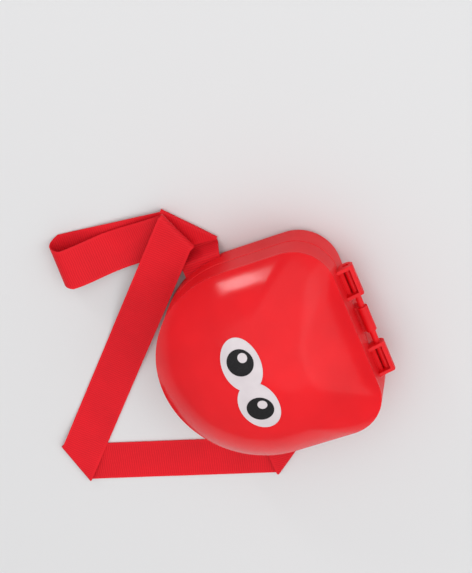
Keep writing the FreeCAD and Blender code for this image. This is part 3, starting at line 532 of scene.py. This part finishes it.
def ribbon_lines(sizes):
    """Cross lines of the whole ribbon as it lies in the photograph."""
    route = RibbonRoute(sizes.width)
    inward = Vector((-1, 0, 0))
    table = HALF_CASE + sizes.drop_start + sizes.drop_length
    folds = [Vector((side * (table + beyond * sizes.width), SLOT_Y - along * sizes.width, 0))
             for side, beyond, along in FOLD_PLACE_SHARES]
    slide = Vector((LOOP_SLIDE_SHARE * sizes.width, 0, 0))
    starts = [folds[0], folds[1] + slide] + folds[2:]
    runs = [(b - a).normalized() for a, b in zip(starts, folds[1:])]
    upper = sizes.bed + 2 * sizes.fold_radius
    loop_top = sizes.bed + 2 * sizes.loop_radius
    crossing_top = sizes.crossing_height + 2 * sizes.crossing_radius

    def over_first_run(share):
        """From the loop's top down onto the run below, then up to the crossing fold."""
        below = sizes.bed + LAYER_ROOM + (upper - sizes.bed) * share
        loop_part = (loop_top - below) * ease(share / LOOP_END)
        return below + loop_part + (sizes.crossing_height - below) * ease((1 - share) / CROSSING_RISE)

    def down_to_table(share):
        """Level over the other layers, then down to the table, then up onto the last layer."""
        crossing_part = (crossing_top - sizes.bed) * ease((share - LEVEL_START) / TABLE_FALL)
        return sizes.bed + crossing_part + (upper - sizes.bed) * ease((1 - share) / LAST_RISE)

    for point in rolled_end(sizes, -1) + slot_drop(sizes, -1, sizes.bed):
        route.cross(point, inward)
    route.fold(folds[0], sizes.bed, sizes.fold_radius, inward, runs[0])
    route.fold(folds[1], sizes.bed, sizes.loop_radius, runs[0], runs[1], steps=24, slide=slide)
    route.settle(over_first_run)
    route.fold(folds[2], sizes.crossing_height, sizes.crossing_radius, runs[1], runs[2], steps=16)
    route.settle(down_to_table)
    route.fold(folds[3], upper, sizes.fold_radius, runs[2], runs[3], upward=False)
    route.fold(folds[4], sizes.bed, sizes.fold_radius, runs[3], inward)
    for point in reversed(rolled_end(sizes, 1) + slot_drop(sizes, 1, upper)):
        route.cross(point, inward)
    return route.fine_lines(sizes.step)


def ripple_at(sizes, point, along, share):
    """How far the ribbon waves off its flat line: nothing inside the case and little on the table."""
    outside = min(1.0, max(0.0, (abs(point.x) - HALF_CASE - 0.004) / 0.006)) if point.y > -HALF_CASE else 1.0
    freedom = min(1.0, max(0.15, (point.z - 0.0006) / 0.002))
    edge, fine, cupped = (math.sin(along / length + start) for length, start in RIBBON_WAVES)
    edge_wave = share * edge + 0.6 * share * fine
    cup = (share * share - 0.35) * cupped
    return sizes.ripple * outside * freedom * (0.55 * edge_wave + 0.8 * cup)


def ribbon_mesh(sizes):
    """Woven strip through the cross lines, with a map of its flat length and width, and that length."""
    lines = ribbon_lines(sizes)
    shares = [1 - 2 * i / RIBBON_CELLS for i in range(RIBBON_CELLS + 1)]
    rows = [[middle + edge * share for share in shares] for middle, edge in lines]
    along = [[0.0] * len(shares)]
    for one, two in zip(rows, rows[1:]):
        along.append([a + (q - p).length for a, p, q in zip(along[-1], one, two)])
    for i, (middle, edge) in enumerate(lines):
        ahead = lines[min(i + 1, len(lines) - 1)][0] - lines[max(i - 1, 0)][0]
        face = ahead.cross(edge)
        if face.length == 0:
            continue
        face.normalize()
        for j, share in enumerate(shares):
            rows[i][j] = rows[i][j] + face * ripple_at(sizes, middle, along[i][j], share)
    columns = len(shares)
    points = [tuple(p) for row in rows for p in row]
    faces = []
    for i in range(len(rows) - 1):
        for j in range(RIBBON_CELLS):
            a = i * columns + j
            faces.append((a, a + 1, a + columns + 1, a + columns))
    mesh = bpy.data.meshes.new("shoulder_ribbon")
    mesh.from_pydata(points, [], faces)
    layer = mesh.uv_layers.new(name="weave")
    for loop in mesh.loops:
        i, j = divmod(loop.vertex_index, columns)
        layer.data[loop.index].uv = (along[i][j], shares[j] * sizes.width / 2)
    mesh.update()
    return mesh, along[-1][RIBBON_CELLS // 2]


class TOYCASE_OT_dress_mouldings(bpy.types.Operator):
    """Gives the two shells and the hinge bar their moulded plastic"""
    bl_idname = "toy_case.dress_mouldings"
    bl_label = "Dress the mouldings"

    def execute(self, context):
        plastic = red_polypropylene(context.scene.toy_case_colours)
        for node in ("base_shell", "lid_shell", "hinge_pin"):
            give_material(frame["nodes"][node], plastic)
        return {"FINISHED"}


class TOYCASE_OT_dress_eyes(bpy.types.Operator):
    """Gives the eye sticker its film and its printed pupils and glints"""
    bl_idname = "toy_case.dress_eyes"
    bl_label = "Dress the eye sticker"

    def execute(self, context):
        film = white_vinyl_film(context.scene.toy_case_colours)
        give_material(frame["nodes"]["eye_sticker"], film)
        give_material(frame["nodes"]["eye_glints"], film)
        give_material(frame["nodes"]["eye_pupils"], black_screen_ink(context.scene.toy_case_colours))
        return {"FINISHED"}


class TOYCASE_OT_lay_ribbon(bpy.types.Operator):
    """Weaves the ribbon strap and lays it in its folds beside the case"""
    bl_idname = "toy_case.lay_ribbon"
    bl_label = "Lay the ribbon"

    def execute(self, context):
        sizes = context.scene.toy_case_ribbon
        mesh, flat_length = ribbon_mesh(sizes)
        ribbon = bpy.data.objects.new("shoulder_ribbon", mesh)
        context.scene.collection.objects.link(ribbon)
        ribbon["flat_length"] = flat_length
        only_active(ribbon)
        wall = ribbon.modifiers.new("cloth", "SOLIDIFY")
        wall.thickness = sizes.thickness
        wall.offset = 0
        bpy.ops.object.modifier_apply(modifier=wall.name)
        bpy.ops.object.shade_smooth_by_angle(angle=math.radians(40))
        give_material(ribbon, ribbed_polyester_ribbon(context.scene.toy_case_colours, sizes))
        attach(ribbon, "base")
        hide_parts("shoulder_strap", "strap_stops")
        return {"FINISHED"}


class TOYCASE_OT_sew_hems(bpy.types.Operator):
    """Sews a row of stitches along each rolled end of the ribbon"""
    bl_idname = "toy_case.sew_hems"
    bl_label = "Sew the hems"

    def execute(self, context):
        sizes = context.scene.toy_case_ribbon
        roll = rolled_end(sizes, 1)
        top = max(roll, key=lambda p: p.z) + Vector((0, 0, sizes.thickness / 2))
        radius = sizes.thread_diameter / 2
        count = int((sizes.width - sizes.stitch_length) / sizes.stitch_pitch) + 1
        spread = (count - 1) * sizes.stitch_pitch + sizes.stitch_length
        centre = Vector((top.x, SLOT_Y - spread / 2, top.z - radius))
        bpy.ops.object.select_all(action="DESELECT")
        bpy.ops.mesh.primitive_circle_add(
            vertices=10, radius=radius * 0.7, fill_type="NGON", location=centre,
            rotation=(math.radians(90), 0, 0))
        stitch = context.active_object
        stitch.name = stitch.data.name = "hem_stitches"
        bpy.ops.object.transform_apply(location=True, rotation=True, scale=True)
        bpy.ops.object.mode_set(mode="EDIT")
        bpy.ops.mesh.select_all(action="SELECT")
        for share, lift, swell in STITCH_STEPS:
            move = Vector((0, sizes.stitch_length * share, radius * lift))
            bpy.ops.mesh.extrude_region_move(TRANSFORM_OT_translate={"value": move})
            centre = centre + move
            bpy.ops.transform.resize(value=(swell, 1, swell), center_override=centre)
        bpy.ops.mesh.select_all(action="SELECT")
        bpy.ops.mesh.remove_doubles(threshold=1e-7)
        bpy.ops.mesh.normals_make_consistent(inside=False)
        bpy.ops.object.mode_set(mode="OBJECT")
        row = stitch.modifiers.new("row", "ARRAY")
        row.count = count
        row.use_relative_offset = False
        row.use_constant_offset = True
        row.constant_offset_displace = (0, sizes.stitch_pitch, 0)
        bpy.ops.object.modifier_apply(modifier=row.name)
        other_end = stitch.modifiers.new("other_end", "MIRROR")
        other_end.use_axis = (True, False, False)
        other_end.use_mirror_merge = False
        bpy.ops.object.modifier_apply(modifier=other_end.name)
        bpy.ops.object.shade_smooth_by_angle(angle=math.radians(60))
        give_material(stitch, twisted_polyester_thread(context.scene.toy_case_colours))
        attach(stitch, "base")
        return {"FINISHED"}


def soft_light(name, power, size, place, target):
    """A rectangular soft light at a place, turned towards a target."""
    data = bpy.data.lights.new(name, "AREA")
    data.shape = "RECTANGLE"
    data.size, data.size_y = size
    data.energy = power
    light = bpy.data.objects.new(name, data)
    bpy.context.scene.collection.objects.link(light)
    light.location = place
    light.rotation_euler = (Vector(target) - Vector(place)).to_track_quat("-Z", "Y").to_euler()


class TOYCASE_OT_set_stage(bpy.types.Operator):
    """Lays a pale floor, hangs soft lights and sets the camera at the photograph's angle"""
    bl_idname = "toy_case.set_stage"
    bl_label = "Set the stage"

    def execute(self, context):
        scene = context.scene
        sizes = scene.toy_case_stage
        bpy.ops.object.select_all(action="DESELECT")
        bpy.ops.mesh.primitive_plane_add(size=sizes.floor_size, location=(0, 0, 0))
        floor = context.active_object
        floor.name = "studio_floor"
        give_material(floor, pale_studio_board(scene.toy_case_colours))

        to_camera = VIEW_RIGHT.cross(-VIEW_DOWN).normalized()
        camera = bpy.data.objects.new("photo_view", bpy.data.cameras.new("photo_view"))
        scene.collection.objects.link(camera)
        place = to_camera * sizes.view_distance + VIEW_RIGHT * VIEW_SHIFT_RIGHT + VIEW_DOWN * VIEW_SHIFT_DOWN
        turn = Matrix((VIEW_RIGHT, -VIEW_DOWN, to_camera)).transposed()
        camera.matrix_world = Matrix.Translation(place) @ turn.to_4x4()
        camera.data.sensor_fit = "VERTICAL"
        camera.data.sensor_height = 36.0
        camera.data.lens = sizes.lens
        camera.data.clip_start = 0.01
        camera.data.dof.use_dof = False
        scene.camera = camera

        soft_light("key_light", sizes.key_power, *KEY_LIGHT)
        soft_light("wide_light", sizes.fill_power, *WIDE_LIGHT)
        soft_light("side_light", sizes.fill_power * SIDE_SHARE, *SIDE_LIGHT)
        world = bpy.data.worlds.new("pale_surround")
        world.use_nodes = True
        world.node_tree.nodes.clear()
        # Paler overhead than at the level of the floor, like a room with a white ceiling.
        way = add_node(world.node_tree, "ShaderNodeTexCoord").outputs["Generated"]
        rise = add_node(world.node_tree, "ShaderNodeSeparateXYZ", {"Vector": way}).outputs["Z"]
        glow = add_node(world.node_tree, "ShaderNodeMapRange", {
            "Value": rise, "From Min": 0.0, "From Max": FULL_GLOW,
            "To Min": HORIZON_SHARE * sizes.sky_strength, "To Max": sizes.sky_strength})
        air = add_node(world.node_tree, "ShaderNodeBackground", {
            "Color": (1.0, 1.0, 1.0, 1.0), "Strength": glow.outputs["Result"]})
        add_node(world.node_tree, "ShaderNodeOutputWorld", {"Surface": air.outputs[0]})
        scene.world = world
        scene.view_settings.view_transform = "Standard"
        return {"FINISHED"}


class TOYCASE_PT_panel(bpy.types.Panel):
    """Lists the steps that dress the case"""
    bl_idname = "TOYCASE_PT_panel"
    bl_label = "Toy carry case"
    bl_space_type = "VIEW_3D"
    bl_region_type = "UI"
    bl_category = "Toy case"

    def draw(self, context):
        for operator in OPERATORS:
            self.layout.operator(operator.bl_idname)
        scene = context.scene
        for group in (scene.toy_case_colours, scene.toy_case_ribbon, scene.toy_case_stage):
            for name in group.__annotations__:
                self.layout.prop(group, name)


OPERATORS = (
    TOYCASE_OT_dress_mouldings,
    TOYCASE_OT_dress_eyes,
    TOYCASE_OT_lay_ribbon,
    TOYCASE_OT_sew_hems,
    TOYCASE_OT_set_stage,
)
CLASSES = (CaseColours, RibbonSizes, StageSizes, *OPERATORS, TOYCASE_PT_panel)


def register():
    for item in CLASSES:
        bpy.utils.register_class(item)
    bpy.types.Scene.toy_case_colours = bpy.props.PointerProperty(type=CaseColours)
    bpy.types.Scene.toy_case_ribbon = bpy.props.PointerProperty(type=RibbonSizes)
    bpy.types.Scene.toy_case_stage = bpy.props.PointerProperty(type=StageSizes)


def unregister():
    del bpy.types.Scene.toy_case_colours
    del bpy.types.Scene.toy_case_ribbon
    del bpy.types.Scene.toy_case_stage
    for item in reversed(CLASSES):
        bpy.utils.unregister_class(item)


def clear_start_objects():
    """Removes what a new file holds besides the frame."""
    kept = set(frame["nodes"].values()) | set(frame["bodies"].values())
    for item in [o for o in bpy.data.objects if o not in kept]:
        bpy.data.objects.remove(item)


def main():
    clear_start_objects()
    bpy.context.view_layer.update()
    register()
    bpy.ops.toy_case.dress_mouldings()
    bpy.ops.toy_case.dress_eyes()
    bpy.ops.toy_case.lay_ribbon()
    bpy.ops.toy_case.sew_hems()
    bpy.ops.toy_case.set_stage()


if __name__ == "__main__":
    main()
